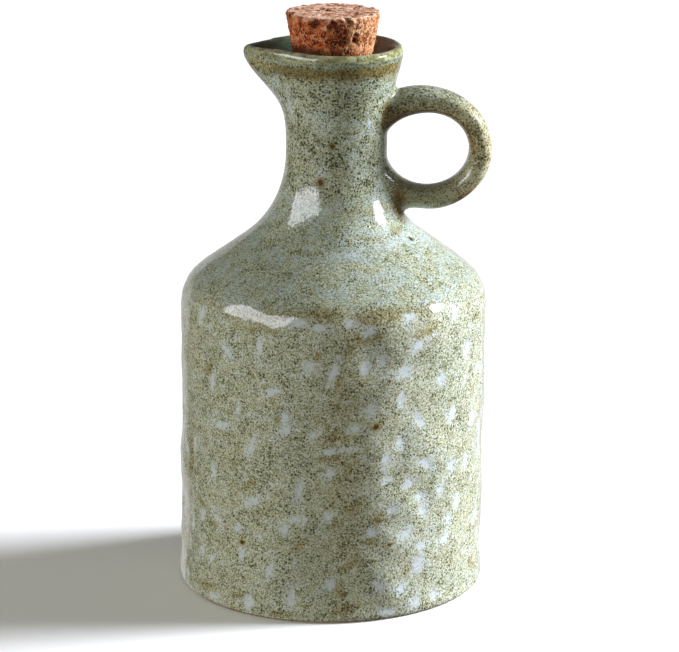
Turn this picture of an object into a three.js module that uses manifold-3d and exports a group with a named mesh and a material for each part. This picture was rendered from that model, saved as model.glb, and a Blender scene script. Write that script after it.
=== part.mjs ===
// A stoneware oil dispenser: a squat hand-formed bottle with a pinched pouring lip and a one-finger
// ring handle, stopped with a tapered cork. Millimetres, +Z up, the origin at the middle of the base.
// The spout points along -X and the handle along +X.
import * as THREE from "three";
import { mergeVertices } from "three/addons/utils/BufferGeometryUtils.js";
import Module from "manifold-3d";

// Bottle
const BODY_RADIUS = 48;
const WALL_TOP = 87;
const SHOULDER_TOP = 102.4;
const FOOT_ROUND = 1.4;
const LEAN = 1.8;
const LEAN_HEIGHT = 150;
const THROAT_RADIUS = 10.4;
const THROAT_TOP = 155;
const THROAT_FLOOR = 149.6;
const THROAT_OFFSET = -1;
const RIM_HEIGHT = 170.7;
const LIP_HEIGHT = 168.4;

// The bottle's outline above the wall, up the outside to the rim's crest and then down the inside to
// the throat. A station's lean is the outline's direction in degrees from straight up, positive
// outwards, and before and after say how far the outline keeps to it on either side.
const OUTSIDE = [
  { radius: BODY_RADIUS, height: WALL_TOP, lean: 0, before: 0, after: 9.5, steps: 1 },
  { radius: 39.7, height: SHOULDER_TOP, lean: -53.7, before: 6.8, after: 4.5, steps: 7 },
  { radius: 28.8, height: 110.4, lean: -53.7, before: 4.5, after: 6.5, steps: 3 },
  { radius: 15.5, height: 136, lean: -2.5, before: 14, after: 1.7, steps: 8 },
  { radius: 15.5, height: 141, lean: 0, before: 1.7, after: 12, steps: 2 },
  { radius: 20.5, height: LIP_HEIGHT, lean: 17, before: 7.7, after: 1.4, steps: 8 },
  { radius: 19.1, height: RIM_HEIGHT, lean: -90, before: 0.9, after: 0.9, steps: 3 },
];
const INSIDE = [
  OUTSIDE.at(-1),
  { radius: 17.1, height: LIP_HEIGHT, lean: -162, before: 1.3, after: 4.6, steps: 3 },
  { radius: THROAT_RADIUS, height: THROAT_TOP, lean: 180, before: 5, after: 0, steps: 6 },
];

// Pouring lip, and the rim's uneven height
const SPOUT_REACH = 8.2;
const SPOUT_AZIMUTH = THREE.MathUtils.degToRad(174.4);
const SPOUT_HALF_ANGLE = THREE.MathUtils.degToRad(50);
const SPOUT_TIP_ROUND = THREE.MathUtils.degToRad(5);
const SPOUT_START = 148;
const SPOUT_FULL = 169;
const SPOUT_DROP = 1;
const RIM_LIFT = 0.6;
const RIM_HIGH_SIDE = THREE.MathUtils.degToRad(130);

// Ring handle
const HOLE_CENTRE = { x: 30.2, z: 138.2 };
const HOLE_HALF_WIDTH = 12.4;
const HOLE_HALF_WIDTH_AT_NECK = 13;
const HOLE_HALF_HEIGHT = 11.5;
const STRAP_THICKNESS = 7.3;
const STRAP_WIDTH = 12.4;
const STRAP_SQUARENESS = 0.8;
const UPPER_JOIN = { flare: 1.8, widening: 1.5, from: -0.6 };
const LOWER_JOIN = { flare: 6, widening: 3.5, from: 0.15 };
const JOIN_FULL = 0.85;

// Hand-pressed dents in the wall, spread by the golden angle
const DENTS = 24;
const DENT_DEPTH = 0.7;
const DENT_SPREAD = 10.5;
const DENT_LOW = 12;
const DENT_HIGH = 88;
const DENT_START = THREE.MathUtils.degToRad(138.4);
const GOLDEN_ANGLE = Math.PI * (3 - Math.sqrt(5));

// Cork
const CORK_TOP = 181.2;
const CORK_HEIGHT = 30.6;
const CORK_TOP_RADIUS = 14.75;
const CORK_TAPER = 0.178;
const CORK_EDGE = 0.7;
const CORK_GRAIN = 0.12;
const CORK_GRAIN_START = THROAT_TOP + 2;
const CHIP_SHARE_DOWNWARDS = 0.6;
const CORK_CHIPS = [
  { azimuth: -111, height: 180.2, reach: 2.6, depth: 1.5 },
  { azimuth: -82, height: 179.4, reach: 2.8, depth: 1.3 },
  { azimuth: -79, height: 173.5, reach: 2.4, depth: 0.8 },
  { azimuth: 196, height: 180.6, reach: 3.2, depth: 1.4 },
  { azimuth: 40, height: 180.4, reach: 2.6, depth: 1.1 },
  { azimuth: 118, height: 175.5, reach: 2.5, depth: 0.9 },
];

// Fineness
const BOTTLE_SEGMENTS = 64;
const WALL_STEPS = 18;
const FOOT_STEPS = 3;
const HANDLE_STEPS = 44;
const HANDLE_SIDES = 14;
const CORK_SEGMENTS = 36;
const CORK_STEPS = 10;
const CORK_FACE_RINGS = 3;
const MERGE_DISTANCE = 1e-4;

const { smoothstep, lerp, degToRad } = THREE.MathUtils;
const wasm = await Module();
wasm.setup();

// A closed geometry as a solid that can be joined to others.
function toSolid(geometry) {
  const bare = geometry.clone();
  for (const name of ["normal", "uv"]) {
    bare.deleteAttribute(name);
  }
  const merged = mergeVertices(bare, MERGE_DISTANCE);
  return new wasm.Manifold(
    new wasm.Mesh({
      numProp: 3,
      vertProperties: merged.attributes.position.array,
      triVerts: new Uint32Array(merged.index.array),
    }),
  );
}

function toMesh(solid, name, material) {
  const { vertProperties, triVerts } = solid.getMesh();
  const geometry = new THREE.BufferGeometry();
  geometry.setAttribute("position", new THREE.BufferAttribute(vertProperties, 3));
  geometry.setIndex(new THREE.BufferAttribute(triVerts, 1));
  geometry.computeVertexNormals();
  const mesh = new THREE.Mesh(geometry, new THREE.MeshStandardMaterial(material));
  mesh.name = name;
  return mesh;
}

// Moves each vertex of a geometry by place(point, index), which changes the point that it is given.
function reshape(geometry, place) {
  const position = geometry.attributes.position;
  const point = new THREE.Vector3();
  for (let i = 0; i < position.count; i++) {
    place(point.fromBufferAttribute(position, i), i);
    position.setXYZ(i, point.x, point.y, point.z);
  }
  return geometry;
}

const at = (radius, height) => new THREE.Vector2(radius, height);

// A solid of revolution about Z from a profile of (radius, height) points.
function revolve(profile, segments) {
  return new THREE.LatheGeometry(profile, segments).rotateX(Math.PI / 2);
}

// The angle from one azimuth to another, between minus half a turn and half a turn.
function turnBetween(from, to) {
  return Math.atan2(Math.sin(to - from), Math.cos(to - from));
}

// The point that lies reach millimetres along a station's direction.
function alongLean(station, reach) {
  const lean = degToRad(station.lean);
  return at(station.radius + reach * Math.sin(lean), station.height + reach * Math.cos(lean));
}

// Smooth curves from station to station, without the first station's own point.
function outline(stations) {
  return stations.slice(1).flatMap((station, i) => {
    const from = stations[i];
    const curve = new THREE.CubicBezierCurve(
      at(from.radius, from.height),
      alongLean(from, from.after),
      alongLean(station, -station.before),
      at(station.radius, station.height),
    );
    return curve.getPoints(station.steps).slice(1);
  });
}

// From the middle of the base, round the foot's edge and up the wall.
function footAndWall() {
  const foot = new THREE.EllipseCurve(BODY_RADIUS - FOOT_ROUND, FOOT_ROUND, FOOT_ROUND, FOOT_ROUND, -Math.PI / 2, 0);
  const wall = new THREE.LineCurve(at(BODY_RADIUS, FOOT_ROUND), at(BODY_RADIUS, WALL_TOP));
  return [at(0, 0), ...foot.getPoints(FOOT_STEPS), ...wall.getPoints(WALL_STEPS).slice(1)];
}

// How far the hand-pressed dents push the wall in.
function dent(azimuth, height) {
  let depth = 0;
  for (let i = 0; i < DENTS; i++) {
    const across = BODY_RADIUS * turnBetween(azimuth, DENT_START + i * GOLDEN_ANGLE);
    const along = height - lerp(DENT_LOW, DENT_HIGH, (i + 0.5) / DENTS);
    depth += DENT_DEPTH * Math.exp(-(across ** 2 + along ** 2) / DENT_SPREAD ** 2);
  }
  return depth * smoothstep(height, 0, DENT_LOW) * (1 - smoothstep(height, DENT_HIGH, SHOULDER_TOP));
}

// How far the pinched spout is drawn out: in plan, a round rim with two straight sides to a tip.
function spoutPull(azimuth, height) {
  const pull = (turn) => 1 / Math.cos(Math.max(turn, 0)) - 1;
  const away = Math.hypot(turnBetween(azimuth, SPOUT_AZIMUTH), SPOUT_TIP_ROUND);
  const share = pull(SPOUT_HALF_ANGLE - away) / pull(SPOUT_HALF_ANGLE - SPOUT_TIP_ROUND);
  return SPOUT_REACH * share * smoothstep(height, SPOUT_START, SPOUT_FULL);
}

function bottle() {
  const outside = [...footAndWall(), ...outline(OUTSIDE)];
  const profile = [...outside, ...outline(INSIDE), at(THROAT_RADIUS, THROAT_FLOOR), at(0, THROAT_FLOOR)];
  return reshape(revolve(profile, BOTTLE_SEGMENTS), (point, index) => {
    const isOutside = index % profile.length < outside.length;
    const azimuth = Math.atan2(point.y, point.x);
    const radius = Math.hypot(point.x, point.y);
    const height = point.z;
    if (radius > MERGE_DISTANCE && (isOutside || height > THROAT_TOP)) {
      const pull = spoutPull(azimuth, height);
      const stretch = 1 + (pull - (isOutside ? dent(azimuth, height) : 0)) / radius;
      const lift = (RIM_LIFT * (1 + Math.cos(azimuth - RIM_HIGH_SIDE))) / 2;
      point.x *= stretch;
      point.y *= stretch;
      point.z += lift * smoothstep(height, SPOUT_START, SPOUT_FULL) - SPOUT_DROP * (pull / SPOUT_REACH);
    }
    point.x += LEAN * Math.min(height / LEAN_HEIGHT, 1);
    if (!isOutside) {
      point.x += THROAT_OFFSET * (1 - smoothstep(height, THROAT_TOP, LIP_HEIGHT));
    }
  });
}

// The ring handle: a strap of rounded section bent round an oval hole. It thickens outwards and
// widens towards its two joins, and narrows again where it is buried in the neck.
function handle() {
  const middle = 2;
  const squared = (share) => Math.sign(share) * Math.abs(share) ** STRAP_SQUARENESS;
  const ring = new THREE.TorusGeometry(middle, 1, HANDLE_SIDES, HANDLE_STEPS);
  return reshape(ring, (point) => {
    const around = Math.atan2(point.y, point.x);
    const towardsNeck = -Math.cos(around);
    const join = around > 0 ? UPPER_JOIN : LOWER_JOIN;
    const swell = smoothstep(towardsNeck, join.from, JOIN_FULL) * (1 - smoothstep(towardsNeck, JOIN_FULL, 1));
    const halfWidth = towardsNeck > 0 ? HOLE_HALF_WIDTH_AT_NECK : HOLE_HALF_WIDTH;
    const hole = new THREE.Vector2(halfWidth * Math.cos(around), HOLE_HALF_HEIGHT * Math.sin(around));
    const outwards = new THREE.Vector2(hole.x / halfWidth ** 2, hole.y / HOLE_HALF_HEIGHT ** 2).normalize();
    const depth = (squared(Math.hypot(point.x, point.y) - middle) + 1) / 2;
    const section = hole.addScaledVector(outwards, depth * (STRAP_THICKNESS + join.flare * swell));
    const across = squared(point.z) * (STRAP_WIDTH + join.widening * swell) * 0.5;
    point.set(HOLE_CENTRE.x + section.x, -across, HOLE_CENTRE.z + section.y);
  });
}

// An even spread of numbers from -1 to 1, always the same one for the same index.
function grain(index) {
  const wave = Math.sin(index * 12.9898) * 43758.5453;
  return 2 * (wave - Math.floor(wave)) - 1;
}

function corkProfile() {
  const bottom = CORK_TOP - CORK_HEIGHT;
  const radiusAt = (height) => CORK_TOP_RADIUS - CORK_TAPER * (CORK_TOP - height);
  const profile = [at(0, bottom), at(radiusAt(bottom) - CORK_EDGE, bottom)];
  for (let i = 0; i <= CORK_STEPS; i++) {
    const height = lerp(bottom + CORK_EDGE, CORK_TOP - CORK_EDGE, i / CORK_STEPS);
    profile.push(at(radiusAt(height), height));
  }
  for (let i = CORK_FACE_RINGS; i >= 0; i--) {
    profile.push(at(((CORK_TOP_RADIUS - CORK_EDGE) * i) / CORK_FACE_RINGS, CORK_TOP));
  }
  return profile;
}

// The tapered cork. Above the throat its side is grainy, and crumbs have broken out of its edge.
function cork() {
  const profile = corkProfile();
  const vertices = profile.length * CORK_SEGMENTS;
  const body = reshape(revolve(profile, CORK_SEGMENTS), (point, index) => {
    const radius = Math.hypot(point.x, point.y);
    if (radius < MERGE_DISTANCE || point.z < CORK_GRAIN_START) {
      return;
    }
    const azimuth = Math.atan2(point.y, point.x);
    let inwards = CORK_GRAIN * grain(index % vertices);
    let down = 0;
    for (const chip of CORK_CHIPS) {
      const across = radius * turnBetween(azimuth, degToRad(chip.azimuth));
      const away = Math.hypot(across, point.z - chip.height, radius - CORK_TOP_RADIUS);
      const bite = chip.depth * (1 - smoothstep(away, 0, chip.reach));
      inwards += bite;
      down += point.z > CORK_TOP - CORK_EDGE ? CHIP_SHARE_DOWNWARDS * bite : 0;
    }
    point.x *= 1 - inwards / radius;
    point.y *= 1 - inwards / radius;
    point.z -= down;
  });
  return body.translate(LEAN + THROAT_OFFSET, 0, 0);
}

const dispenser = new THREE.Group();
dispenser.add(
  toMesh(toSolid(bottle()).add(toSolid(handle())), "jug", { color: 0x9a9c84, roughness: 0.28, metalness: 0 }),
  toMesh(toSolid(cork()), "cork", { color: 0xa86f4a, roughness: 0.85, metalness: 0 }),
);

export default dispenser;
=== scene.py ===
import math
import random

import bmesh
import bpy
import numpy as np
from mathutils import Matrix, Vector, kdtree


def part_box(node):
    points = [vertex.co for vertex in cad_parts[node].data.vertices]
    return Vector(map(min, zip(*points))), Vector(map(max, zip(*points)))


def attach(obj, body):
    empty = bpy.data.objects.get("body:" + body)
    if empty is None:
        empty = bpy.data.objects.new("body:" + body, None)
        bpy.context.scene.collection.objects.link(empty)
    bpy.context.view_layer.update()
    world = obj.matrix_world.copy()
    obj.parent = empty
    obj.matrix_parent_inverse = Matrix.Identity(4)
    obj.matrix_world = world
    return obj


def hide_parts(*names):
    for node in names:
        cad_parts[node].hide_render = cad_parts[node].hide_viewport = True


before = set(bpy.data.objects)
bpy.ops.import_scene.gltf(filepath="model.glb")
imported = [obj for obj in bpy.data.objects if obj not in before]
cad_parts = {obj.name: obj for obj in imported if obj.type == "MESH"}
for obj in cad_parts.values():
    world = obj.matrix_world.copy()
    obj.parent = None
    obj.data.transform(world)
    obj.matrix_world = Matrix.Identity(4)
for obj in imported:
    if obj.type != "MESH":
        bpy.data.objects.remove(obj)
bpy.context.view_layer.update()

# A stoneware oil bottle with a speckled glaze, a pinched lip, a ring handle and a cork. Lengths are in
# millimetres in the tables and formulas, and MM turns them into metres.
MM = 0.001

# Bottle
BODY_RADIUS, WALL_TOP, SHOULDER_TOP, FOOT_ROUND = 48, 87, 102.4, 1.4
LEAN, LEAN_HEIGHT = 1.8, 150
THROAT_RADIUS, THROAT_TOP, THROAT_FLOOR, THROAT_OFFSET = 10.4, 155, 149.6, -1
RIM_HEIGHT, LIP_HEIGHT = 170.7, 168.4
OUTSIDE = [  # radius, height, lean from upright in degrees, reach of the curve before and after, steps
    (BODY_RADIUS, WALL_TOP, 0, 0, 9.5, 1),
    (39.7, SHOULDER_TOP, -53.7, 6.8, 4.5, 14),
    (28.8, 110.4, -53.7, 4.5, 6.5, 8),
    (15.5, 136, -2.5, 14, 1.7, 22),
    (15.5, 141, 0, 1.7, 12, 4),
    (20.6, 167.9, 9, 7.4, 1.8, 22),
    (18.9, RIM_HEIGHT, -90, 1.4, 0.9, 8),
]
INSIDE = [
    OUTSIDE[-1],
    (17.1, LIP_HEIGHT, -162, 1.3, 4.6, 6),
    (THROAT_RADIUS, THROAT_TOP, 180, 5, 0, 12),
]
WALL_STEPS, FOOT_STEPS, THROAT_STEPS, BOTTLE_SEGMENTS = 60, 4, 4, 192
WALL_MIDDLE = [(THROAT_FLOOR, 13), (THROAT_TOP, 13), (LIP_HEIGHT, 18.8), (RIM_HEIGHT, 19.1)]  # height, radius
JUG_VOXEL, FLAT_BELOW = 0.85, 0.25
WALL_RELIEF, BOTTLE_RELIEF = (0.4, 4, 92, 104), (0.4, 4, 150, 165)  # heights at which it starts, is full, ebbs, ends
TURNED_INWARDS, MOUTH_TO_X = (-0.2, 0.4), 22.5

# Pouring lip and the rim's uneven height
SPOUT_REACH, SPOUT_START, SPOUT_FULL, SPOUT_DROP = 8.2, 148, 169, 1
SPOUT_AZIMUTH, SPOUT_HALF_ANGLE, SPOUT_TIP_ROUND = (math.radians(a) for a in (174.4, 53, 5))
RIM_LIFT, RIM_HIGH_SIDE = 0.6, math.radians(130)

# Ring handle
HOLE_X, HOLE_Z = 30.2, 138.2
HOLE_HALF_WIDTH, HOLE_HALF_HEIGHT = 12.4, 11.5
HOLE_HALF_WIDTH_AT_NECK = (14.4, 13)  # upper, lower
STRAP_THICKNESS, STRAP_WIDTH, STRAP_SQUARENESS = 7.3, 12.4, 0.8
TORUS_ROUND, TORUS_TUBE, TORUS_SEGMENTS = 2, 1, (112, 32)  # the plain torus that the strap is bent from
UPPER_JOIN = (1.8, 1.5, -0.6)  # flare, widening, from
LOWER_JOIN = (6, 3.5, 0.15)
JOIN_FULL = 0.85
JOINS = [  # middle and reach of each place where the strap runs softly into the neck
    ((17.6, 0, 151.5), (4.5, 9, 4.5)),
    ((21, 0, 122), (7, 10, 7)),
    ((16.5, 0, 127.5), (4, 9, 5)),
]
JOIN_SMOOTHING, OTHER_SMOOTHING = 24, 4
STRAP_BEYOND, STRAP_HEIGHTS = (17.5, 19.5), (119, 124, 150, 156)  # distance from the neck's axis, and heights
NECK_FULLER, NECK_FULLER_TURN, NECK_FULLER_RISE = 0.5, 0.6, 8  # inside the handle: mm, radians, mm

# Hand-pressed dents in the wall, and fainter lumps all over
DENTS, DENT_DEPTH, DENT_SPREAD, DENT_LOW, DENT_HIGH = 24, 0.7, 10.5, 12, 88
DENT_START, GOLDEN_ANGLE = math.radians(138.4), math.pi * (3 - math.sqrt(5))
LUMP_SIZE, LUMP_HEIGHT, LUMP_MIDDLE, LUMPS_ABOVE_WALL = 16, 1.8, 0.4, 0.25

# Softer hollows of the hand beside the front's ridge: azimuth, height, spread across and up, depth
FRONT_HOLLOWS = [
    (-91, 24, 12, 20, 1.6), (-90, 60, 12, 18, 1.4), (-51, 24, 12, 20, 1.3), (-60, 64, 9, 18, 0.9),
    (-121, 58, 12, 20, 0.3),
]

# Cork
CORK_TOP, CORK_HEIGHT, CORK_TOP_RADIUS, CORK_TAPER, CORK_EDGE = 181.2, 30.6, 14.75, 0.178, 0.7
CORK_X, CORK_SEGMENTS, CORK_VOXEL = LEAN + THROAT_OFFSET, 128, 0.33
CORK_CHIPS = [  # azimuth, height, reach, depth
    (-112, 179, 2.9, 2.2),
    (-88, 178.8, 2.5, 1.5),
    (-83, 175.3, 2, 1.1),
    (-86, 171.8, 2, 1),
    (196, 180.6, 3.2, 1.4),
    (40, 180.4, 2.6, 1.1),
    (118, 175.5, 2.5, 0.9),
    (-101, 177.8, 1.3, 0.6),
    (-99, 175.6, 1.1, 0.5),
    (-96, 180, 1.3, 0.6),
    (-89, 170.3, 1, 0.5),
    (-81, 173.2, 0.9, 0.4),
    (-78, 169.6, 1, 0.5),
]
RIM_CHIP_SPACING, RIM_CHIPS = (7, 22), ((180.2, 181.2), (0.8, 1.7), (0.3, 0.8))  # degrees; height, reach, depth
RIM_CHIP_REACH = 1.8
CORK_GRANULES, GRANULE_SPREAD, GRANULE_GAP = 8000, 16, 0.4
SEAM = (CORK_X + 3.2, -14, 175)  # where the pressed granules have parted at the front
SEAM_WIDTH, SEAM_REACH, SUNK_SHARE, SUNK_AT_SEAM = 2.8, (3, 4, 12), 0.06, 0.35
CREVICE_DEPTH, HOLLOW_DEPTH, GRANULE_DEPTH, CHIP_DEPTH, CORK_INSET = 0.14, 0.65, 0.16, 0.9, 0.08
# Deep chips are painted dark as shade; the rim's shallow wear shows fresh cork.
CHIP_BOTTOM, CHIP_SHADE_DEPTHS, FRESH_WEAR = 0.3, (0.7, 1.3), (0.08, 0.3)  # reach of the bottom; depths that show
RELIEF_FROM = (THROAT_TOP + 1, THROAT_TOP + 4)

# Pale pools in the glaze: azimuth, height, tilt to the right from upright, length and width
FRONT_POOLS = [
    (-133, 83.3, -30, 4.2, 2.8), (-118, 86, 5, 6, 2.2), (-141, 71.7, 10, 5.2, 3), (-90, 79.6, 22, 7.2, 2.6),
    (-99, 81.7, 30, 4.2, 3.6), (-108, 65.1, 12, 5.6, 2.4), (-108, 61.2, 70, 5, 3), (-136, 59.1, 82, 7.4, 2.4),
    (-121, 54.6, 28, 7.6, 2), (-155, 49.2, 5, 6, 2.2), (-113, 72.7, 80, 5.5, 2), (-58, 86.3, 75, 5, 3.4),
    (-63, 78.7, 45, 5, 4), (-64, 70.1, 15, 4.4, 3), (-76, 67.8, 10, 4.2, 2.6), (-56, 62.3, -25, 5, 3),
    (-64, 56.5, 20, 3.2, 3), (-53, 48.3, -65, 5.2, 3), (-40, 45, 20, 4.4, 3.4), (-31, 81, 15, 4.4, 3.6),
    (-46, 73.8, 15, 4.2, 3.2), (-39, 61.5, 10, 4.8, 3.2), (-141, 43.4, -20, 4.8, 2.6), (-121, 36.9, 56, 8.6, 2.4),
    (-102, 42.1, 6, 6.4, 2.6), (-147, 28, 35, 5.4, 1.6), (-138, 28.6, -55, 5, 1.8), (-155, 22.7, 0, 4.4, 2),
    (-127, 27.5, 0, 3.4, 2.4), (-108, 29.6, 20, 3.6, 3), (-103, 33, 80, 5, 2), (-91, 34, 35, 4, 3),
    (-125, 19.8, 5, 5, 2), (-141, 14.9, 30, 3.4, 2), (-147, 16, 0, 3, 2), (-113, 15.9, 15, 5, 2.4),
    (-91, 47.8, 40, 3.4, 2.8), (-139, 2.9, 80, 4.4, 2), (-122, 4.6, 25, 4.6, 3.8), (-105, 7.7, 5, 7, 2.6),
    (-90, 12.2, 40, 4.2, 3), (-160, 5.6, 0, 3.4, 2), (-69, 45, 80, 3.4, 2.2), (-60, 42.6, 60, 4.2, 3.2),
    (-54, 38, 85, 3.6, 2.4), (-53, 32.8, -35, 4.2, 3.2), (-67, 35.1, 80, 4.6, 2), (-75, 28.9, 0, 3.2, 3),
    (-61, 26.6, 65, 5.6, 2.8), (-54, 21.7, 80, 3.8, 2.4), (-55, 16.2, 30, 5.8, 4.6), (-45, 38.1, 10, 3.4, 2.6),
    (-35, 32.4, 10, 4.6, 3), (-42, 21.8, 40, 4, 3), (-72, 11.6, 0, 3.8, 3.2), (-63, 9.2, 10, 4, 3.8),
    (-57, 4.1, 60, 4, 3.4), (-69, 2.6, 85, 5, 2.4), (-48, 4.6, 20, 3.6, 3.2), (-40, 27.8, 10, 3.2, 2.6),
    (-82, 62, 70, 4.5, 2.2), (-84, 55.5, 85, 6.4, 1.8), (-91, 54.6, 85, 5, 1.8), (-70, 52, 30, 4, 2.4),
    (-78, 81, 30, 4.6, 3), (-72, 82.5, 20, 4, 2.6), (-97, 60, 60, 3.4, 2), (-128, 65, 20, 4, 1.8),
    (-103, 95, 85, 8, 2.6), (-95, 93.8, 88, 6, 2.2), (-84, 95, 75, 4, 3), (-77, 92, 60, 4.2, 2.8),
    (-61, 95.5, 75, 4.6, 2.6), (-38, 94, 30, 4.4, 3), (-148, 92, 10, 5, 2.4), (-26, 58, 10, 4.6, 3),
    (-30, 45, 10, 4.2, 3),
]
# Ochre patches where the clay shows through, and a long upright patch that browns the front's middle: azimuth,
# height, tilt, length, width
FRONT_PATCHES = [
    (-96, 97.5, 88, 20, 4.6), (-118, 92, 85, 16, 3), (-79, 90, 80, 13, 4), (-84, 86.4, 30, 7, 4),
    (-54, 90.4, 70, 8, 3.4), (-143, 75.7, 20, 6.5, 3.6), (-96, 84.8, 40, 4.4, 2.4), (-88, 77, -10, 5, 3),
    (-88, 59.3, 85, 8.6, 2.4), (-91, 52.6, 88, 13, 2.2), (-111, 64.4, 20, 3.4, 2.6), (-122, 42.6, 60, 8, 2.4),
    (-147, 31.6, -60, 7, 2), (-140, 26, 85, 5, 1.6), (-89, 32, -30, 7, 3.6), (-82, 36.5, 55, 9, 3.6),
    (-75, 25.5, 80, 6, 2.2), (-72, 33, 60, 6, 3.4), (-102, 24.3, 50, 5, 2.8), (-87, 11, -25, 7, 3.4),
    (-82, 18.5, 60, 9, 2.6), (-145, 5.4, 84, 13, 2.6), (-126, 5.5, 75, 12, 2.2), (-86, 48, 0, 88, 14),
    (-110, 96, 88, 44, 5), (-72, 96.5, 88, 42, 5), (-85, 4.4, 75, 10, 3), (-108, 2.2, 88, 12, 1.6),
    (-60, 15, 60, 5, 2), (-158, 40, 5, 36, 4), (-160, 18, 5, 22, 4), (-33, 115.5, 80, 6, 3),
]
LONG_PATCHES_FAINTER = [(20, 1), (88, 0.55)]  # length, strength

# Marks all round, as the glaze happened to run: how many, heights, tilt and its spread, lengths, widths, strengths
WALL_POOLS = (130, (2, 94), (20, 40), (3.2, 7.5), (1.8, 3.4), (0.75, 1))
SHOULDER_SMEARS = (46, (97, 124), (90, 14), (6, 16), (1.6, 4), (0.3, 0.62))
NECK_SMEARS = (22, (124, 160), (0, 50), (4, 10), (2, 4.5), (0.3, 0.6))
WALL_PATCHES = (34, (3, 98), (75, 30), (5, 14), (2, 4.5), (0.6, 1))
FRONT = (-162, -24)  # azimuths between which the wall has marks of its own
MARK_SHARPNESS = 0.7
POOL_DEPTH, PINHOLE_DEPTH, PINHOLE_SHARE = 0.16, 0.35, 0.8

# Where the glaze has drawn back from the strap's edges: strength, depth and spread across the strap, then the turns
# round the ring, in degrees, at which it starts, is full, ebbs and ends
DRAWN_BACK = [
    (0.85, 1.2, 1.4, -30, 10, 120, 150),
    (1, 6.6, 1.5, -110, -80, -50, -15),
    (0.3, 3.4, 1.6, -60, -20, 30, 60),
]
# Brown glaze at the handle's joins, and painted shade in the upper one's groove: strength, middle, reach
JOIN_RUST_AND_GROOVE_SHADE = [
    (1.3, (21.5, 0, 149), (5.5, 9, 4.8)),
    (1.2, (21, -4, 122.5), (2.4, 7, 6.5)),
    (1.3, (17.2, -6.8, 149.5), (1.8, 2.6, 4.5)),
]
JOIN_RUST_AND_SHADE_MOST = 1.3

# Azimuth, height and size
IRON_SPOTS = [
    (-74, 62.3, 0.9), (-125, 23.4, 0.7), (-68, 24.1, 0.45), (-94, 142.3, 0.7), (-107, 130.7, 1.1),
    (96, 48, 0.8), (20, 71, 0.6), (172, 33, 0.8),
]
PINHOLES = [(-26, 112.6, 1.5), (-119, 106, 0.6), (-62, 118, 0.5), (140, 112, 0.9), (60, 88, 0.7)]

# Heights at which each colour of the glaze starts and is full, and ebbs and ends
SHOULDER_GLAZE_AND_SHADE, NECK_GLAZE_AND_SHADE, CLOSER_SPECKS = (94, 100, 122, 132), (118, 134), (120, 134)
LIP_BAND, LIP_LINE, LIP_ROLL_SHADE = (163.2, 166.2, 168, 169.5), (168, 169, 169.4, 170.2), (169.1, 169.6, 169.8, 170.4)
LIP_CREST, FEWER_SPECKS = (169.5, 170.8), (168.5, 171)
CLAY_LINE, CORK_TOP_EDGE = (0.85, 1.15), (180.4, 181)
# From the spout's end to the handle's (x), where each colour starts to change and has changed
# The neck's darkening towards the handle is painted shade, where the handle's shadow falls.
SPOUT_END, LINE_FULLER, NECK_HANDLE_SHADE, MOUTH_BROWNER = (-18, -8), (-10, 2), (-10, 18), (-1, 12)
# The strap's and the cork's paler sides, towards the handle, are painted light from the key on that side.
STRAP_LIT_SIDE, CORK_LIT_SIDE = (34, 44), (3, 10)
SMALL_SPECKS, BIG_SPECKS = 0.5, 0.95  # their spacing

# Slanted pits of the cork: slant, spacing, most cover
CORK_PITS = [(0.75, 0.7, 0.46), (-0.55, 0.8, 0.42), (0.2, 1.1, 0.3)]

# Soft boxes, in metres and watts: name, place, aim, width, height, power
SOFT_BOXES = [
    ("key_right", (0.88, 0.05, 0.55), (0, 0, 0.09), 0.25, 0.3, 5.5),
    ("shine_left", (-0.66, -0.3, 0.48), (0, 0, 0.1), 0.87, 0.46, 7.6),
    ("board_left", (-0.80, -0.40, 0.09), (0, 0, 0.1), 0.6, 0.2, 3.1),
    ("board_front", (-0.78, -0.72, 0.1), (0, 0, 0.08), 0.8, 0.2, 3.1),
    ("pale_backdrop", (0, 0.9, -0.15), (0, 0, 0.06), 1.6, 0.9, 1.9),
]
SUN_FROM, SUN_STRENGTH, SUN_SOFTNESS = (0.90, 0.18, 0.27), 9.9, math.radians(22)
COOL_LIGHT, COOL_SHINE, ROOM_LIGHT = (0.93, 0.97, 1.14), (0.95, 0.98, 1.08), (1, 0.99, 0.95, 1)
ROOM_STRENGTH, ROOM_IN_REFLECTIONS = 0.25, 0.22
CAMERA_PLACE, CAMERA_TILT, CAMERA_LENS, FILM_WIDTH = (0.0028, -0.9268, 0.3407), math.radians(90 - 15.64), 162.7, 36

rng = random.Random(7)


# ---------------------------------------------------------------------------------------- hand tools
def only(piece):
    """Makes a piece the only one selected, and the active one."""
    bpy.ops.object.select_all(action="DESELECT")
    piece.select_set(True)
    bpy.context.view_layer.objects.active = piece
    return piece


def take_new(name):
    """Names the new piece and fixes its place into its mesh."""
    piece = bpy.context.object
    piece.name = piece.data.name = name
    bpy.ops.object.transform_apply(location=True, rotation=True, scale=True)
    return only(piece)


def use_modifier(piece, kind, **settings):
    only(piece)
    modifier = piece.modifiers.new(kind.title(), kind)
    for name, value in settings.items():
        setattr(modifier, name, value)
    bpy.ops.object.modifier_apply(modifier=modifier.name)


def points_of(piece):
    """The piece's points in millimetres."""
    flat = np.empty(len(piece.data.vertices) * 3)
    piece.data.vertices.foreach_get("co", flat)
    return flat.reshape(-1, 3) / MM


def normals_of(piece):
    flat = np.empty(len(piece.data.vertices) * 3)
    piece.data.vertices.foreach_get("normal", flat)
    return flat.reshape(-1, 3)


def put_points(piece, points):
    piece.data.vertices.foreach_set("co", (points * MM).ravel())
    piece.data.update()


def keep_inside(piece, node):
    """Holds a piece within the box of the solid that it stands for."""
    low, high = (np.array(corner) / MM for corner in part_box(node))
    put_points(piece, np.clip(points_of(piece), low, high))


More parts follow.
